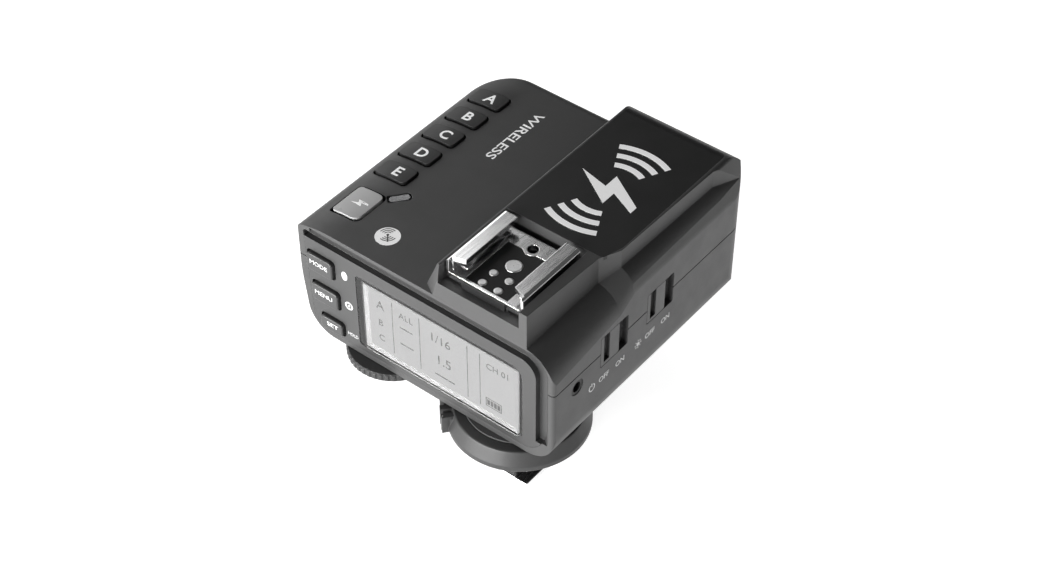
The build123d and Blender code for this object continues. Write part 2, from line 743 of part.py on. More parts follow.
def foot_base():
    """The round boss under the housing and the journal that the lock ring turns on."""
    body = rod_z(0, 0, ring_z0, floor_z, journal_r) + rod_z(0, 0, ring_z1 + 0.1, floor_z, 12.6)
    body -= box(-neck_half, neck_half, -neck_half_y, neck_half_y, ring_z0 - 1, floor_z - 1.5)
    body -= rod_z(0, 0, floor_z - 2, floor_z + 1, 3.5)
    for x, y in foot_screw_places():
        body -= rod_z(x, y, ring_z0 + 1, floor_z + 1, 0.75)
    return body


def foot_block():
    """The black neck that joins the foot plate to the base and carries the contact pins."""
    body = rounded_box(
        -neck_half, neck_half, -neck_half_y, neck_half_y, foot_thick, floor_z - 1.5, 0.4
    )
    body += rounded_box(-heel_half, heel_half, -heel_half_y, heel_half_y, foot_thick, heel_z, 0.6)
    body += rounded_box(-5.2, 5.2, -8.6, 8.3, 0.3, foot_thick, 0.5)
    body -= rod_z(0, 0, 0, 9.0, 1.3)
    for x, y in foot_pin_places():
        body -= rod_z(x, y, 0, small_pin_top + 0.7, 0.75)
    return body - rod_z(0, lock_pin_y, 0, 12.5, 1.15)


def foot_plate():
    """The steel plate that slides into a camera's shoe."""
    plate = rounded_box(-foot_half, foot_half, -foot_half, foot_half, 0, foot_thick, 0.8)
    edge = plate.edges().filter_by(Plane.XY)
    plate = fillet(edge, 0.25)
    return plate - rounded_box(-5.2, 5.2, -8.6, 8.3, -1, foot_thick + 1, 0.5)


def foot_screws():
    parts = []
    for x, y in foot_screw_places():
        shank = rod_z(x, y, ring_z0 + 1.2, floor_z + wall, 0.75)
        head = rod_z(x, y, floor_z + wall, floor_z + wall + 1.2, 1.5)
        slot = box(x - 1.2, x + 1.2, y - 0.2, y + 0.2, floor_z + wall + 0.7, floor_z + wall + 2)
        parts.append(shank + head - slot)
    return parts


def foot_pin(x, y, r, top):
    """A sprung contact pin with a rounded tip."""
    pin = rod_z(x, y, -pin_reach, top, r)
    return fillet(pin.edges().filter_by(GeomType.CIRCLE).sort_by(Axis.Z)[0], r * 0.7)


def lock_pin():
    pin = rod_z(0, lock_pin_y, 0.3, 11.8, 1.1)
    return chamfer(pin.edges().filter_by(GeomType.CIRCLE).sort_by(Axis.Z)[0], 0.3)


def lock_ring():
    """The turning ring, wider at its lower rim, with a ribbed grip for the thumb."""
    profile = [
        (journal_r + 0.05, ring_z0),
        (ring_r0, ring_z0),
        (ring_r0, ring_z0 + 1.4),
        (ring_r1, ring_z1),
        (journal_r + 0.05, ring_z1),
    ]
    outline = FilletPolyline(
        *[(r, 0, z) for r, z in profile], radius=[0, 0.4, 0.8, 0.5, 0], close=True
    )
    ring = revolve(make_face(outline), Axis.Z, 360)
    tab = [Rot(0, 0, 214) * box(13.0, 16.9, -5.6, 5.6, ring_z0, ring_z1 - 0.9)]
    for k in range(5):
        tab.append(Rot(0, 0, 196 + 9.0 * k) * box(13.0, 17.9, -0.65, 0.65, ring_z0, ring_z1 - 0.2))
    for rib in tab:
        ring += rib
    return ring


def clamp_pad():
    """The pad under the ring that presses the camera's shoe against the foot plate."""
    pad = rod_z(0, 0, 6.4, ring_z0 - 0.15, 11.2)
    pad = chamfer(pad.edges().filter_by(GeomType.CIRCLE).sort_by(Axis.Z)[0], 0.5)
    gap = 0.08
    return pad - rounded_box(
        -neck_half - gap, neck_half + gap, -neck_half_y - gap, neck_half_y + gap, 0, 20, 0.4
    )


def battery_door():
    """The door under the cells: a plate with a barrel along the hinge, parted at the ears."""
    x0, x1 = bay_x0 + 0.25, bay_x1 - 0.25
    door = box(x0, x1, bay_y0 + 0.25, hinge_y, floor_z, floor_z + door_thick)
    door += rod_x(x0, x1, hinge_y, hinge_z, barrel_r)
    for x in ear_xs:
        door -= box(x - ear_half - 0.2, x + ear_half + 0.2, hinge_y - 1.5, hinge_y + 2, 14, 19)
    door -= rod_x(x0 - 1, x1 + 1, hinge_y, hinge_z, hinge_pin_r + 0.04)
    # Finger ribs by the opening edge
    for k in range(5):
        y = bay_y0 + 2.6 + 1.8 * k
        door -= box(-30, -15, y, y + 0.9, floor_z - 1, floor_z + 0.5)
    return door


def door_hinge_pin():
    return rod_x(bay_x0 + 0.3, bay_x1 - 0.3, hinge_y, hinge_z, hinge_pin_r)


def battery_cell(y, button_side):
    """An AA cell; its button touches the contact plate on the given side."""
    plate_x = bay_x1 - contact_thick if button_side > 0 else bay_x0 + contact_thick
    shoulder_x = plate_x - button_side * (cell_length - can_length)
    flat_x = plate_x - button_side * cell_length
    can = rod_x(min(shoulder_x, flat_x), max(shoulder_x, flat_x), y, cell_z, cell_r)
    can = fillet(can.edges().filter_by(GeomType.CIRCLE), 0.5)
    return can + rod_x(min(shoulder_x, plate_x), max(shoulder_x, plate_x), y, cell_z, 2.7)


def battery_springs():
    """A cone spring at the flat end of each cell, wide at the wall."""
    wire_r = 0.28
    room = bay_x1 - bay_x0 - 2 * contact_thick - cell_length
    parts = []
    for y, x, side in ((cell_ys[0], bay_x0, 1), (cell_ys[1], bay_x1, -1)):
        rise = room - 2 * wire_r
        turns = 3.0
        start = x + side * (contact_thick + wire_r)
        path = Helix(
            rise / turns, rise, 4.4, center=(start, y, cell_z), direction=(side, 0, 0), cone_angle=-45
        )
        section = Plane(origin=path @ 0, z_dir=path % 0) * Circle(wire_r)
        parts.append(sweep(section, path=path))
    return parts


def battery_plates():
    """The contact plates at both ends of the cells."""
    parts = []
    for y in cell_ys:
        parts.append(box(bay_x0, bay_x0 + contact_thick, y - 5, y + 5, cell_z - 5, cell_z + 5))
        parts.append(box(bay_x1 - contact_thick, bay_x1, y - 5, y + 5, cell_z - 5, cell_z + 5))
    return parts


def case_screws():
    parts = []
    for x, y in case_screw_places():
        head = rod_z(x, y, floor_z + 1.4, floor_z + 3.0, 1.85)
        shank = rod_z(x, y, floor_z + 3.0, boss_top_z - 0.6, 0.9)
        cross = box(x - 1.1, x + 1.1, y - 0.2, y + 0.2, floor_z + 1, floor_z + 2.0)
        cross += box(x - 0.2, x + 0.2, y - 1.1, y + 1.1, floor_z + 1, floor_z + 2.0)
        parts.append(head + shank - cross)
    return parts


def focus_outline(grow, y0, y1):
    return rounded_box(-41.5 - grow, -23.5 + grow, y0, y1, 22.0 - grow, 34.0 + grow, 2.0, "y")


def focus_window():
    lens = focus_outline(0, front_y - 2.4, front_y - 0.2)
    return fillet(lens.faces().sort_by(Axis.Y)[-1].edges(), 0.6)


def focus_lamp():
    """The assist lamp on the bay's front wall, behind the window."""
    lamp = rod_y(-32.5, bay_y1 + 1.0, front_y - 2.4, 28.0, 2.5)
    return lamp + rod_y(-32.5, bay_y1 + 1.0, bay_y1 + 2.0, 28.0, 2.9)


def whole(shape):
    """One shape from a list of separate solids, or the shape itself."""
    return Compound(children=[Part() + s for s in shape]) if isinstance(shape, list) else shape


nodes = {
    "top_shell": top_shell(),
    "bottom_shell": bottom_shell(),
    "antenna_cover": antenna_cover(),
    "rear_panel": rear_panel(),
    "display_window": display_window(),
    "lcd_module": lcd_module(),
    "lcd_backlight": lcd_backlight(),
    "display_board": display_board(),
    "main_board": main_board(),
    "tact_switches": tact_switches(),
    "radio_module": radio_module(),
    "antenna": antenna(),
    "rear_key_mat": rear_key_mat(),
    "group_key_mat": group_key_mat(),
    "test_key": test_key(),
    "status_lamp": status_lamp(),
    "select_dial": select_dial(),
    "dial_shaft": dial_shaft(),
    "dial_encoder": dial_encoder(),
    "power_knob": slide_knob(switch_ys["power"]),
    "assist_knob": slide_knob(switch_ys["assist"]),
    "slide_switches": slide_switches(),
    "sync_jack": sync_jack(),
    "usb_socket": usb_socket(),
    "shoe_rails": shoe_rails(),
    "shoe_insulator": shoe_insulator(),
    "shoe_centre_contact": shoe_centre_contact(),
    "shoe_small_contacts": shoe_small_contacts(),
    "shoe_springs": shoe_springs(),
    "shoe_screws": shoe_screws(),
    "foot_base": foot_base(),
    "foot_block": foot_block(),
    "foot_plate": foot_plate(),
    "foot_screws": foot_screws(),
    "foot_centre_pin": foot_pin(0, 0, 1.25, 8.2),
    "lock_pin": lock_pin(),
    "lock_ring": lock_ring(),
    "clamp_pad": clamp_pad(),
    "battery_door": battery_door(),
    "door_hinge_pin": door_hinge_pin(),
    "battery_cell_rear": battery_cell(cell_ys[0], 1),
    "battery_cell_front": battery_cell(cell_ys[1], -1),
    "battery_springs": battery_springs(),
    "battery_plates": battery_plates(),
    "case_screws": case_screws(),
    "focus_window": focus_window(),
    "focus_lamp": focus_lamp(),
}
for name in rear_keys:
    nodes[f"{name}_key"] = rear_key(name)
for index, name in enumerate(group_names):
    nodes[f"group_key_{name}"] = group_key(index)
for index, (x, y) in enumerate(foot_pin_places()):
    nodes[f"foot_pin_{index + 1}"] = foot_pin(x, y, 0.7, small_pin_top)

os.makedirs("parts", exist_ok=True)
for name, shape in nodes.items():
    export_step(whole(shape), f"parts/{name}.step")
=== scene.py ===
import json
import math

import bmesh
import bpy
from mathutils import Matrix, Vector


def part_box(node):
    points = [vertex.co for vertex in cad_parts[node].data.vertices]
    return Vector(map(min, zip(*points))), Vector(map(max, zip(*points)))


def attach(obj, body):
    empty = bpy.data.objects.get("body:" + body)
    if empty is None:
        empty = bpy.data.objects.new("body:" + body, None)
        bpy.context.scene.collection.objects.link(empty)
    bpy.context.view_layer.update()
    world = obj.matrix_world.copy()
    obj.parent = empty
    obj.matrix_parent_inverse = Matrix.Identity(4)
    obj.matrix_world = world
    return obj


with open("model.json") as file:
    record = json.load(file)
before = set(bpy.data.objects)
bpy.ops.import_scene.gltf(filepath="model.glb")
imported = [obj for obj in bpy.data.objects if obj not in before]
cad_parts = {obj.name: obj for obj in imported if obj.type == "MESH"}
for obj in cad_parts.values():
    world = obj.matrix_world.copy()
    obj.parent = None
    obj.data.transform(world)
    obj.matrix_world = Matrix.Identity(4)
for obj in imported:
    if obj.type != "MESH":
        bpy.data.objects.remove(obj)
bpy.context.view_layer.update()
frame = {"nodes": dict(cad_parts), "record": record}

MM = 0.001
DECK_Z = 47.7
BLOCK_Z = 56.7
REAR_Y = -11.0
RIGHT_X = 17.9
GROUP_LIFT = 0.6
TEST_LIFT = 0.35
CROWN_X = -43.6
CROWN_R = 34.0
PRINT_THICK = 0.03
EDGE_ROUND = 0.00018
DISC_STEPS = 40
NOISE_ROUGHNESS = 0.55
RAMP_START = 0.3
RAMP_END = 0.7
PLASTIC_GRAIN = 5200
METAL_GRAIN = 2500
METAL_BUMP = 0.1
GROUP_LETTER_X = -46.4
BADGE_X = -34.3
BADGE_Y = -3.1
SIDE_TEXT_Z = 29.4
SYMBOL_LAMP = (-40.7, 37.8)
SYMBOL_RING = (-40.0, 29.0)
SYMBOL_HOLD = (-39.4, 20.1)
CAMERA_PLACE = (0.1925, -0.2416, 0.3473)
CAMERA_RIGHT = (0.7838, 0.6210, 0.0)
CAMERA_FORWARD = (-0.4482, 0.5657, -0.6921)
CAMERA_LENS = 69.9
FLOOR_Z = -0.0007


# ---------------------------------------------------------------- materials

def new_material(name):
    mat = bpy.data.materials.new(name)
    mat.use_nodes = True
    tree = mat.node_tree
    tree.nodes.clear()
    out = tree.nodes.new("ShaderNodeOutputMaterial")
    shader = tree.nodes.new("ShaderNodeBsdfPrincipled")
    tree.links.new(shader.outputs[0], out.inputs[0])
    return mat, tree, shader


def noise(tree, scale, detail=3.0, stretch=None):
    coords = tree.nodes.new("ShaderNodeTexCoord")
    mapping = tree.nodes.new("ShaderNodeMapping")
    if stretch:
        mapping.inputs["Scale"].default_value = stretch
    tree.links.new(coords.outputs["Object"], mapping.inputs["Vector"])
    node = tree.nodes.new("ShaderNodeTexNoise")
    node.inputs["Scale"].default_value = scale
    node.inputs["Detail"].default_value = detail
    node.inputs["Roughness"].default_value = NOISE_ROUGHNESS
    tree.links.new(mapping.outputs["Vector"], node.inputs["Vector"])
    return node.outputs["Fac"]


def ramp(tree, fac, low, high):
    node = tree.nodes.new("ShaderNodeValToRGB")
    node.color_ramp.elements[0].position = RAMP_START
    node.color_ramp.elements[1].position = RAMP_END
    node.color_ramp.elements[0].color = (*low, 1)
    node.color_ramp.elements[1].color = (*high, 1)
    tree.links.new(fac, node.inputs["Fac"])
    return node.outputs["Color"]


def spread(tree, fac, low, high):
    node = tree.nodes.new("ShaderNodeMapRange")
    node.inputs["From Min"].default_value = 0.3
    node.inputs["From Max"].default_value = 0.7
    node.inputs["To Min"].default_value = low
    node.inputs["To Max"].default_value = high
    tree.links.new(fac, node.inputs["Value"])
    return node.outputs["Result"]


def bump(tree, shader, fac, strength, distance, normal=None):
    node = tree.nodes.new("ShaderNodeBump")
    node.inputs["Strength"].default_value = strength
    node.inputs["Distance"].default_value = distance
    tree.links.new(fac, node.inputs["Height"])
    if normal:
        tree.links.new(normal, node.inputs["Normal"])
    tree.links.new(node.outputs["Normal"], shader.inputs["Normal"])


def edge_mask(tree, radius):
    """The rounded normal near edges, and a mask that is 1 on them, broken up by noise; the mask places
    painted highlights on the edges.
    """
    bevel = tree.nodes.new("ShaderNodeBevel")
    bevel.samples = 6
    bevel.inputs["Radius"].default_value = radius
    geometry = tree.nodes.new("ShaderNodeNewGeometry")
    dot = tree.nodes.new("ShaderNodeVectorMath")
    dot.operation = "DOT_PRODUCT"
    tree.links.new(bevel.outputs["Normal"], dot.inputs[0])
    tree.links.new(geometry.outputs["Normal"], dot.inputs[1])
    edge = tree.nodes.new("ShaderNodeMapRange")
    edge.inputs["From Min"].default_value = 0.995
    edge.inputs["From Max"].default_value = 0.88
    tree.links.new(dot.outputs["Value"], edge.inputs["Value"])
    broken = tree.nodes.new("ShaderNodeMath")
    broken.operation = "MULTIPLY"
    tree.links.new(edge.outputs["Result"], broken.inputs[0])
    tree.links.new(spread(tree, noise(tree, 700, 4), 0.35, 1.0), broken.inputs[1])
    return bevel.outputs["Normal"], broken.outputs["Value"]


def mix_colour(tree, fac, first, second):
    node = tree.nodes.new("ShaderNodeMix")
    node.data_type = "RGBA"
    tree.links.new(fac, node.inputs["Factor"])
    tree.links.new(first, node.inputs["A"])
    node.inputs["B"].default_value = (*second, 1)
    return node.outputs["Result"]


def plastic(name, grey, rough=(0.42, 0.5), strength=0.2, tint=(1, 1, 1), gloss=0.5, edge_highlight_gain=1.7):
    """Moulded plastic: fine spark-eroded grain, faint clouding, and painted highlights that lighten the
    edges.
    """
    mat, tree, shader = new_material(name)
    low = [grey * 0.96 * t for t in tint]
    high = [grey * 1.04 * t for t in tint]
    rounded, painted_edge_highlight = edge_mask(tree, EDGE_ROUND)
    body = ramp(tree, noise(tree, 60, 3), low, high)
    # Painted highlight: a lighter grey is mixed into the base colour along the edges, in place of light
    # caught on rounded edges.
    edge_highlight_grey = [min(1.0, grey * edge_highlight_gain * t) for t in tint]
    tree.links.new(mix_colour(tree, painted_edge_highlight, body, edge_highlight_grey), shader.inputs["Base Color"])
    tree.links.new(spread(tree, noise(tree, 200, 4), *rough), shader.inputs["Roughness"])
    shader.inputs["IOR"].default_value = 1.5
    shader.inputs["Specular IOR Level"].default_value = gloss
    bump(tree, shader, noise(tree, PLASTIC_GRAIN, 2), strength, 0.00003, rounded)
    return mat


def metal(name, grey, rough=(0.16, 0.26), stretch=(1, 0.04, 1), tint=(1, 1, 1)):
    """Metal with drawn lines along one axis, small changes in gloss and painted highlights on the
    edges.
    """
    mat, tree, shader = new_material(name)
    lines = noise(tree, METAL_GRAIN, 3, stretch=stretch)
    low = [grey * 0.93 * t for t in tint]
    high = [min(1.0, grey * 1.05 * t) for t in tint]
    rounded, painted_edge_highlight = edge_mask(tree, EDGE_ROUND)
    body = ramp(tree, noise(tree, 160, 3), low, high)
    # Painted highlight: a lighter grey is mixed into the base colour along the edges.
    bright = [min(1.0, grey * 1.15 * t) for t in tint]
    tree.links.new(mix_colour(tree, painted_edge_highlight, body, bright), shader.inputs["Base Color"])
    tree.links.new(spread(tree, lines, *rough), shader.inputs["Roughness"])
    shader.inputs["Metallic"].default_value = 1.0
    bump(tree, shader, lines, METAL_BUMP, 0.00001, rounded)
    return mat


def paint(name, grey, rough=0.5, glow=0.0):
    """Printed ink with a slightly uneven film; glow adds emission, which serves as painted light."""
    mat, tree, shader = new_material(name)
    grain = noise(tree, 1800, 3)
    tree.links.new(
        ramp(tree, grain, [grey * 0.94] * 3, [min(1.0, grey * 1.03)] * 3), shader.inputs["Base Color"]
    )
    shader.inputs["Roughness"].default_value = rough
    if glow:
        shader.inputs["Emission Color"].default_value = (grey, grey, grey, 1)
        shader.inputs["Emission Strength"].default_value = glow
    bump(tree, shader, grain, 0.1, 0.00001)
    return mat


def smoked_glass(name):
    mat, tree, shader = new_material(name)
    shader.inputs["Base Color"].default_value = (0.9, 0.9, 0.9, 1)
    shader.inputs["Transmission Weight"].default_value = 1.0
    shader.inputs["IOR"].default_value = 1.45
    tree.links.new(spread(tree, noise(tree, 300, 3), 0.02, 0.05), shader.inputs["Roughness"])
    return mat


def clear_plastic(name, colour):
    mat, tree, shader = new_material(name)
    shader.inputs["Base Color"].default_value = (*colour, 1)
    shader.inputs["Transmission Weight"].default_value = 0.75
    shader.inputs["IOR"].default_value = 1.49
    tree.links.new(spread(tree, noise(tree, 300, 3), 0.08, 0.2), shader.inputs["Roughness"])
    return mat


def board_material(name):
    """Solder mask with copper tracks showing as lighter lines."""
    mat, tree, shader = new_material(name)
    coords = tree.nodes.new("ShaderNodeTexCoord")
    brick = tree.nodes.new("ShaderNodeTexBrick")
    brick.inputs["Scale"].default_value = 260
    brick.inputs["Mortar Size"].default_value = 0.04
    brick.inputs["Color1"].default_value = (0.012, 0.075, 0.03, 1)
    brick.inputs["Color2"].default_value = (0.015, 0.09, 0.04, 1)
    brick.inputs["Mortar"].default_value = (0.05, 0.2, 0.09, 1)
    tree.links.new(coords.outputs["Object"], brick.inputs["Vector"])
    tree.links.new(brick.outputs["Color"], shader.inputs["Base Color"])
    shader.inputs["Roughness"].default_value = 0.35
    return mat


SHELL = plastic("shell_plastic", 0.045)
COVER = plastic("cover_plastic", 0.02, rough=(0.3, 0.38), strength=0.08, gloss=0.32)
PANEL = plastic("panel_plastic", 0.038, rough=(0.34, 0.42), strength=0.12)
KEYS = plastic("key_plastic", 0.012, rough=(0.36, 0.44), strength=0.1, gloss=0.4, edge_highlight_gain=2.4)
SIDE_KEYS = plastic("side_key_plastic", 0.038, rough=(0.34, 0.42), strength=0.12)
DIAL = plastic("dial_plastic", 0.03, rough=(0.4, 0.5))
BLACK = plastic("black_plastic", 0.009, rough=(0.4, 0.5), strength=0.12, gloss=0.35)
TEST = plastic("test_key_plastic", 0.42, rough=(0.26, 0.34), strength=0.05, edge_highlight_gain=1.2)
LAMP = clear_plastic("lamp_plastic", (0.8, 0.8, 0.82))
RUBBER = plastic("mat_rubber", 0.25, rough=(0.7, 0.8))
RAIL = metal("rail_steel", 0.86, rough=(0.14, 0.24))
SCREW = metal("screw_steel", 0.55, rough=(0.25, 0.35), stretch=None)
SPRING = metal("spring_steel", 0.75, rough=(0.18, 0.26), stretch=None)
NICKEL = metal("contact_nickel", 0.82, rough=(0.26, 0.36), stretch=None)
GOLD = metal("contact_gold", 0.8, rough=(0.18, 0.28), stretch=None, tint=(1, 0.78, 0.42))
PLATE = metal("plate_steel", 0.8, rough=(0.2, 0.3))
CAN = metal("can_metal", 0.6, rough=(0.25, 0.4), stretch=None)
BOARD = board_material("board_green")
GLASS = smoked_glass("window_glass")
# Painted light: the display and its segments glow, standing in for light that the glass window holds
# back from them; the display is also backlit.
LCD = paint("lcd_glass", 0.68, rough=0.35, glow=0.4)
# Painted shadow: a darker, dimmer glowing grey for the band along the display's frame.
LCD_EDGE_SHADE = paint("lcd_edge_shade", 0.5, rough=0.4, glow=0.3)
SEGMENT = paint("segment_ink", 0.1, rough=0.4, glow=0.1)
GUIDE = paint("light_guide", 0.9, rough=0.4)
INK = paint("white_ink", 0.62)
# Painted light: this print glows to make up for the little light that reaches the top faces.
TOP_INK = paint("top_ink", 0.86, glow=0.25)
DARK_INK = paint("dark_ink", 0.12)
WRAP = plastic("cell_wrap", 0.06, rough=(0.2, 0.3), strength=0.03, tint=(0.5, 1.0, 0.8))
FOCUS = clear_plastic("focus_plastic", (0.25, 0.01, 0.012))
LAMP_RED = clear_plastic("lamp_body", (0.6, 0.05, 0.05))

SLOT_MATERIALS = {
    "housing_plastic": SHELL,
    "cover_plastic": COVER,
    "panel_plastic": PANEL,
    "window_glass": GLASS,
    "lcd_glass": LCD,
    "light_guide": GUIDE,
    "board_green": BOARD,
    "part_black": BLACK,
    "can_metal": CAN,
    "key_plastic": KEYS,
    "test_key_plastic": TEST,
    "lamp_plastic": LAMP,
    "mat_rubber": RUBBER,
    "dial_plastic": DIAL,
    "rail_steel": RAIL,
    "screw_steel": SCREW,
    "contact_gold": GOLD,
    "contact_nickel": NICKEL,
    "insulator_plastic": BLACK,
    "plate_steel": PLATE,
    "cell_wrap": WRAP,
    "spring_steel": SPRING,
    "focus_plastic": FOCUS,
    "lamp_body": LAMP_RED,
}
NODE_SLOTS = {s["node"]: s["material_slot"] for s in frame["record"]["subparts"]}
NODE_MATERIALS = {
    "mode_key": SIDE_KEYS,
    "menu_key": SIDE_KEYS,
    "set_key": SIDE_KEYS,
    "power_knob": SIDE_KEYS,
    "assist_knob": SIDE_KEYS,
}

for node_name, obj in frame["nodes"].items():
    mat = NODE_MATERIALS.get(node_name, SLOT_MATERIALS[NODE_SLOTS[node_name]])
    obj.data.materials.clear()
    obj.data.materials.append(mat)

NODE_BODY = {n: b for b, nodes in frame["record"]["behaviour"]["bodies"].items() for n in nodes}


# ---------------------------------------------------------------- pieces

def place(obj, matrix, body, mat):
    obj.data.transform(matrix)
    obj.data.materials.clear()
    obj.data.materials.append(mat)
    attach(obj, body)
    return obj


def mesh_object(name, bm):
    bmesh.ops.recalc_face_normals(bm, faces=bm.faces)
    mesh = bpy.data.meshes.new(name)
    bm.to_mesh(mesh)
    bm.free()
    obj = bpy.data.objects.new(name, mesh)
    bpy.context.scene.collection.objects.link(obj)
    return obj


def flat_shape(bm, points):
    """Adds a thin prism from an outline in the plane z = 0, in millimetres."""
    bottom = [bm.verts.new((x, y, 0)) for x, y in points]
    top = [bm.verts.new((x, y, PRINT_THICK)) for x, y in points]
    bm.faces.new(bottom)
    bm.faces.new(top)
    count = len(points)
    for k in range(count):
        j = (k + 1) % count
        bm.faces.new((bottom[k], bottom[j], top[j], top[k]))


def ring_shape(bm, x, y, r_out, r_in, start=0.0, end=360.0, steps=32, squash=1.0):
    """Adds a thin ring or an arc of one."""
    angles = [math.radians(start + (end - start) * k / steps) for k in range(steps + 1)]
    for k in range(steps):
        a, b = angles[k], angles[k + 1]
        quad = [
            (x + r_in * math.cos(a), y + r_in * squash * math.sin(a)),
            (x + r_out * math.cos(a), y + r_out * squash * math.sin(a)),
            (x + r_out * math.cos(b), y + r_out * squash * math.sin(b)),
            (x + r_in * math.cos(b), y + r_in * squash * math.sin(b)),
        ]
        flat_shape(bm, quad)


def bar(bm, x0, x1, y0, y1):
    flat_shape(bm, [(x0, y0), (x1, y0), (x1, y1), (x0, y1)])


def disc(bm, x, y, r):
    angles = [2 * math.pi * k / DISC_STEPS for k in range(DISC_STEPS)]
    flat_shape(bm, [(x + r * math.cos(a), y + r * math.sin(a)) for a in angles])


def bolt(bm, x, y, height, width):
    """A lightning flash."""
    left = [(0.15, 1.0), (-0.55, -0.12), (-0.05, -0.12), (-0.25, -1.0)]
    right_side = [(0.55, 0.22), (0.05, 0.22), (0.42, 1.0)]
    outline = left + right_side
    flat_shape(bm, [(x + px * width / 1.1, y + py * height / 2) for px, py in outline])


def text_object(name, words, height, width=None, bold=0.0):
    """Words as a thin solid mesh, centred on the origin and scaled to a height in millimetres."""
    curve = bpy.data.curves.new(name, "FONT")
    curve.body = words
    curve.size = 4.0
    curve.offset = bold
    curve.extrude = PRINT_THICK / 2
    curve.resolution_u = 4
    temp = bpy.data.objects.new(name + "_curve", curve)
    bpy.context.scene.collection.objects.link(temp)
    bpy.context.view_layer.update()
    mesh = bpy.data.meshes.new_from_object(temp.evaluated_get(bpy.context.evaluated_depsgraph_get()))
    bpy.data.objects.remove(temp)
    bpy.data.curves.remove(curve)
    mesh.name = name
    xs = [v.co.x for v in mesh.vertices]
    ys = [v.co.y for v in mesh.vertices]
    middle = Vector(((min(xs) + max(xs)) / 2, (min(ys) + max(ys)) / 2, 0))
    tall = height / (max(ys) - min(ys))
    wide = width / (max(xs) - min(xs)) if width else tall
    mesh.transform(Matrix.Diagonal((wide, tall, 1, 1)) @ Matrix.Translation(-middle))
    mesh.transform(Matrix.Translation((0, 0, PRINT_THICK / 2)))
    obj = bpy.data.objects.new(name, mesh)
    bpy.context.scene.collection.objects.link(obj)
    return obj


def frame_on(origin, across, up):
    """Millimetres in a surface's own plane to metres in the row frame."""
    x = Vector(across).normalized()
    y = Vector(up).normalized()
    z = x.cross(y)
    turn = Matrix((x, y, z)).transposed().to_4x4()
    return Matrix.Translation(Vector(origin) * MM) @ turn @ Matrix.Scale(MM, 4)


def on_rear(x, z, proud=0.0):
    return frame_on((x, REAR_Y - proud, z), (1, 0, 0), (0, 0, 1))


def on_side(y, z):
    return frame_on((RIGHT_X, y, z), (0, 1, 0), (0, 0, 1))


def on_top(x, y, z, turn=0.0):
    a = math.radians(turn)
    return frame_on((x, y, z), (math.cos(a), math.sin(a), 0), (-math.sin(a), math.cos(a), 0))


def node_box(node):
    """A node's lowest and highest corners in millimetres."""
    return [Vector(corner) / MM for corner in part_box(node)]


def drape(obj):
    """Lets a flat legend follow the crown along the deck's left side."""
    for vertex in obj.data.vertices:
        over = min(CROWN_X - vertex.co.x / MM, CROWN_R)
        if over > 0:
            vertex.co.z -= (CROWN_R - math.sqrt(CROWN_R**2 - over**2)) * MM


def group_legends():
    """The letters on the group keys, read from the left side's rear."""
    for letter in "ABCDE":
        node = f"group_key_{letter.lower()}"
        low, high = node_box(node)
        obj = text_object(f"legend_{letter.lower()}", letter, 3.1, bold=0.08)
        spot = on_top(GROUP_LETTER_X, (low.y + high.y) / 2, DECK_Z + GROUP_LIFT)
        drape(place(obj, spot, NODE_BODY[node], TOP_INK))


def test_key_legend():
    bm = bmesh.new()
    bolt(bm, 0, 0, 4.2, 2.4)
    low, high = node_box("test_key")
    spot = on_top((low.x + high.x) / 2, (low.y + high.y) / 2, DECK_Z + TEST_LIFT, -60)
    drape(place(mesh_object("legend_flash", bm), spot, "test_key", TOP_INK))


def deck_legends():
    """A round badge with radio waves, and a generic word along the deck."""
    bm = bmesh.new()
    disc(bm, 0, 0, 2.9)
    spot = on_top(BADGE_X, BADGE_Y, DECK_Z)
    place(mesh_object("badge_disc", bm), spot, "housing", TOP_INK)
    bm = bmesh.new()
    bar(bm, -0.14, 0.14, -2.0, 0.5)
    disc(bm, 0, 0.5, 0.34)
    for r in (0.95, 1.55, 2.15):
        ring_shape(bm, 0, 0.5, r + 0.12, r - 0.12, 35, 145, 16)
        ring_shape(bm, 0, 0.5, r + 0.12, r - 0.12, 215, 325, 16)
    raised = on_top(BADGE_X, BADGE_Y, DECK_Z + PRINT_THICK, 40) @ Matrix.Scale(0.92, 4)
    place(mesh_object("badge_waves", bm), raised, "housing", DARK_INK)
    word = text_object("deck_word", "WIRELESS", 2.4, 19.5, bold=0.03)
    place(word, on_top(-33.8, 41.0, DECK_Z, -90), "housing", TOP_INK)


def cover_emblem():
    """A large flash between radio waves on the raised cover."""
    bm = bmesh.new()
    bolt(bm, 0, 0, 17.0, 9.0)
    for side in (0, 180):
        for r in (9.0, 12.2, 15.4):
            ring_shape(bm, 0, 0, r, r - 1.5, side - 27, side + 27, 24)
    spot = on_top(0.0, 31.0, BLOCK_Z, -90)
    place(mesh_object("cover_emblem", bm), spot, "housing", TOP_INK)


def rear_legends():
    """Words on the rear keys, and a symbol beside each."""
    words = {"mode": ("MODE", 5.2), "menu": ("MENU", 5.2), "set": ("SET", 3.4)}
    for key, (text, width) in words.items():
        node = f"{key}_key"
        low, high = node_box(node)
        z = (high.z + low.z) / 2
        proud = REAR_Y - low.y
        obj = text_object(f"legend_{key}", text, 1.25, width, bold=0.03)
        place(obj, on_rear(low.x + 3.7, z, proud), NODE_BODY[node], INK)
    bm = bmesh.new()
    ring_shape(bm, 0, 0, 0.85, 0.0, 0, 360, 28, squash=1.5)
    place(mesh_object("symbol_lamp", bm), on_rear(*SYMBOL_LAMP), "housing", INK)
    bm = bmesh.new()
    ring_shape(bm, 0, 0, 1.15, 0.75, 0, 360, 28)
    disc(bm, 0, 0, 0.34)
    place(mesh_object("symbol_ring", bm), on_rear(*SYMBOL_RING), "housing", INK)
    word = text_object("symbol_hold", "HOLD", 0.95, 3.0)
    place(word, on_rear(*SYMBOL_HOLD), "housing", INK)


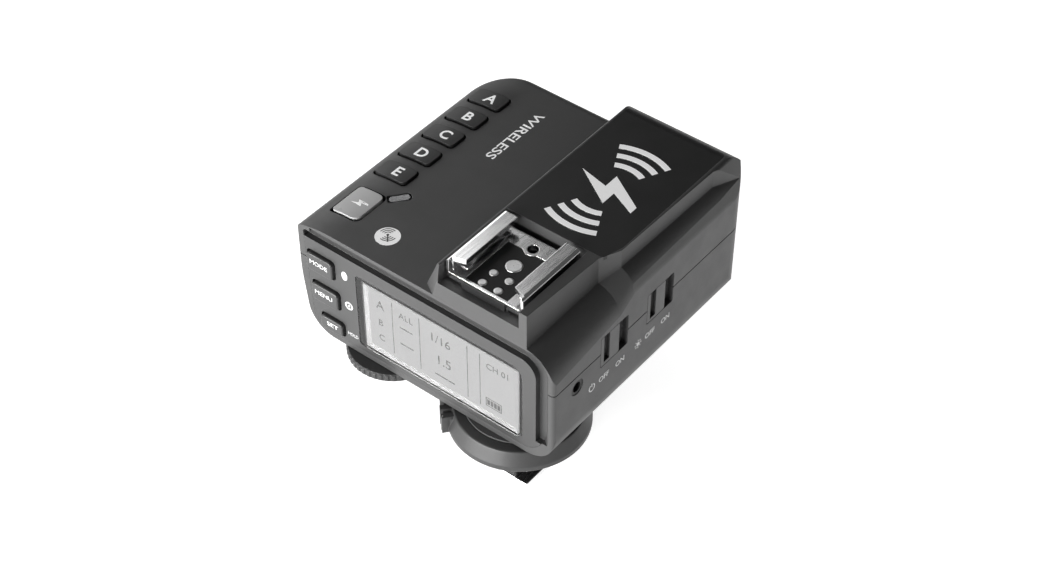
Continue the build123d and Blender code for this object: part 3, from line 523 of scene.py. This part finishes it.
def side_legends():
    """OFF and ON under each slide switch, with a power and a lamp symbol."""
    for name, y0 in (("power", 0.0), ("assist", 16.9)):
        for word, y in (("OFF", 6.7), ("ON", 12.5)):
            obj = text_object(f"{name}_{word.lower()}", word, 1.5, bold=0.04)
            place(obj, on_side(y0 + y, SIDE_TEXT_Z), "housing", INK)
    bm = bmesh.new()
    ring_shape(bm, 0, 0, 1.1, 0.8, 120, 420, 28)
    bar(bm, -0.14, 0.14, 0.2, 1.3)
    place(mesh_object("power_symbol", bm), on_side(2.4, SIDE_TEXT_Z), "housing", INK)
    bm = bmesh.new()
    disc(bm, 0, 0, 0.55)
    for k in range(8):
        a = k * math.pi / 4
        ring_shape(bm, 0, 0, 1.25, 0.8, math.degrees(a) - 7, math.degrees(a) + 7, 3)
    place(mesh_object("assist_symbol", bm), on_side(19.2, SIDE_TEXT_Z), "housing", INK)


def display_image():
    """Columns of settings on the display, faint under the window."""
    low, high = node_box("lcd_module")
    face = on_rear(0, 0, REAR_Y - low.y)
    width, tall = high.x - low.x, high.z - low.z
    bm = bmesh.new()
    # Painted shadow: a darker band along the display's left and bottom edges, where the frame shades
    # it.
    bar(bm, low.x + 0.1, low.x + 1.5, low.z + 0.1, high.z - 0.1)
    bar(bm, low.x + 1.5, high.x - 0.1, low.z + 0.1, low.z + 1.6)
    place(mesh_object("lcd_shade_band", bm), face, "housing", LCD_EDGE_SHADE)
    bm = bmesh.new()
    for share in (0.19, 0.37, 0.68, 0.76):
        x = low.x + share * width
        bar(bm, x - 0.09, x + 0.09, low.z + 2.6, high.z - 1.0)
    for share_x, share_z, half in ((0.28, 0.62, 1.9), (0.28, 0.36, 1.9), (0.53, 0.2, 2.8)):
        x, z = low.x + share_x * width, low.z + share_z * tall
        bar(bm, x - half, x + half, z, z + 0.35)
    x, z = low.x + 0.85 * width, low.z + 0.24 * tall
    for offset in (0.0, 0.95, 1.9, 2.85):
        bar(bm, x + offset - 2.0, x + offset - 1.25, z - 0.8, z + 0.8)
    for z0 in (1.1, -1.3):
        bar(bm, x - 2.4, x + 2.0, z + z0, z + z0 + 0.2)
    for x0 in (-2.4, 1.8):
        bar(bm, x + x0, x + x0 + 0.2, z - 1.3, z + 1.3)
    place(mesh_object("lcd_lines", bm), face, "housing", SEGMENT)
    entries = [
        ("A", 0.11, 0.8, 2.4), ("B", 0.11, 0.52, 1.8), ("C", 0.11, 0.28, 1.8), ("ALL", 0.28, 0.82, 1.7),
        ("1/16", 0.51, 0.78, 2.4), ("1.5", 0.53, 0.46, 2.6), ("CH 01", 0.87, 0.82, 1.7),
    ]
    for index, (words, share_x, share_z, height) in enumerate(entries):
        obj = text_object(f"lcd_text_{index}", words, height)
        spot = face @ Matrix.Translation((low.x + share_x * width, low.z + share_z * tall, 0))
        place(obj, spot, "housing", SEGMENT)


def underside_marks():
    """An arrow on the battery door."""
    low, high = node_box("battery_door")
    bm = bmesh.new()
    flat_shape(bm, [(-2.2, -1.2), (2.2, -1.2), (0, 2.2)])
    under = frame_on(((low.x + high.x) / 2, low.y + 14.5, low.z), (1, 0, 0), (0, -1, 0))
    place(mesh_object("door_arrow", bm), under, "battery_door", DARK_INK)


group_legends()
test_key_legend()
deck_legends()
cover_emblem()
rear_legends()
side_legends()
display_image()
underside_marks()

camera_data = bpy.data.cameras.new("camera")
camera_data.lens = CAMERA_LENS
camera_data.sensor_width = 36.0
camera_data.clip_start = 0.01
camera = bpy.data.objects.new("camera", camera_data)
bpy.context.scene.collection.objects.link(camera)
right = Vector(CAMERA_RIGHT)
forward = Vector(CAMERA_FORWARD).normalized()
up = right.cross(forward)
turn = Matrix((right, up, -forward)).transposed().to_4x4()
camera.matrix_world = Matrix.Translation(Vector(CAMERA_PLACE)) @ turn
bpy.context.scene.camera = camera

# Floor
bm = bmesh.new()
bmesh.ops.create_grid(bm, x_segments=1, y_segments=1, size=3.0)
floor = mesh_object("floor", bm)
floor.data.transform(Matrix.Translation((0, 0, FLOOR_Z)))
mat, tree, shader = new_material("floor_paper")
tree.links.new(ramp(tree, noise(tree, 6, 3), (0.88,) * 3, (0.92,) * 3), shader.inputs["Base Color"])
shader.inputs["Roughness"].default_value = 0.8
shader.inputs["Emission Color"].default_value = (1, 1, 1, 1)
shader.inputs["Emission Strength"].default_value = 0.8
floor.data.materials.append(mat)


def softbox(name, position, target, size, power):
    data = bpy.data.lights.new(name, "AREA")
    data.shape = "RECTANGLE"
    data.size, data.size_y = size
    data.energy = power
    lamp = bpy.data.objects.new(name, data)
    bpy.context.scene.collection.objects.link(lamp)
    away = Vector(position) - Vector(target)
    lamp.matrix_world = Matrix.Translation(position) @ away.to_track_quat("Z", "Y").to_matrix().to_4x4()


softbox("rear_light", (-0.15, -0.8, 0.14), (0, -0.01, 0.035), (0.8, 0.25), 17)
softbox("sky_light", (-0.9, 0.25, 0.55), (0, 0.03, 0.05), (1.0, 1.0), 5.5)
world = bpy.data.worlds.new("studio")
world.use_nodes = True
sky = world.node_tree
direction = sky.nodes.new("ShaderNodeTexCoord")
split = sky.nodes.new("ShaderNodeSeparateXYZ")
sky.links.new(direction.outputs["Generated"], split.inputs["Vector"])
shade = sky.nodes.new("ShaderNodeValToRGB")
shade.color_ramp.elements[0].position = 0.0
shade.color_ramp.elements[0].color = (1, 1, 1, 1)
shade.color_ramp.elements[1].position = 0.07
shade.color_ramp.elements[1].color = (0.08, 0.08, 0.08, 1)
sky.links.new(split.outputs["Z"], shade.inputs["Fac"])
sky.links.new(shade.outputs["Color"], sky.nodes["Background"].inputs["Color"])
bpy.context.scene.world = world
bpy.context.scene.view_settings.view_transform = "Standard"
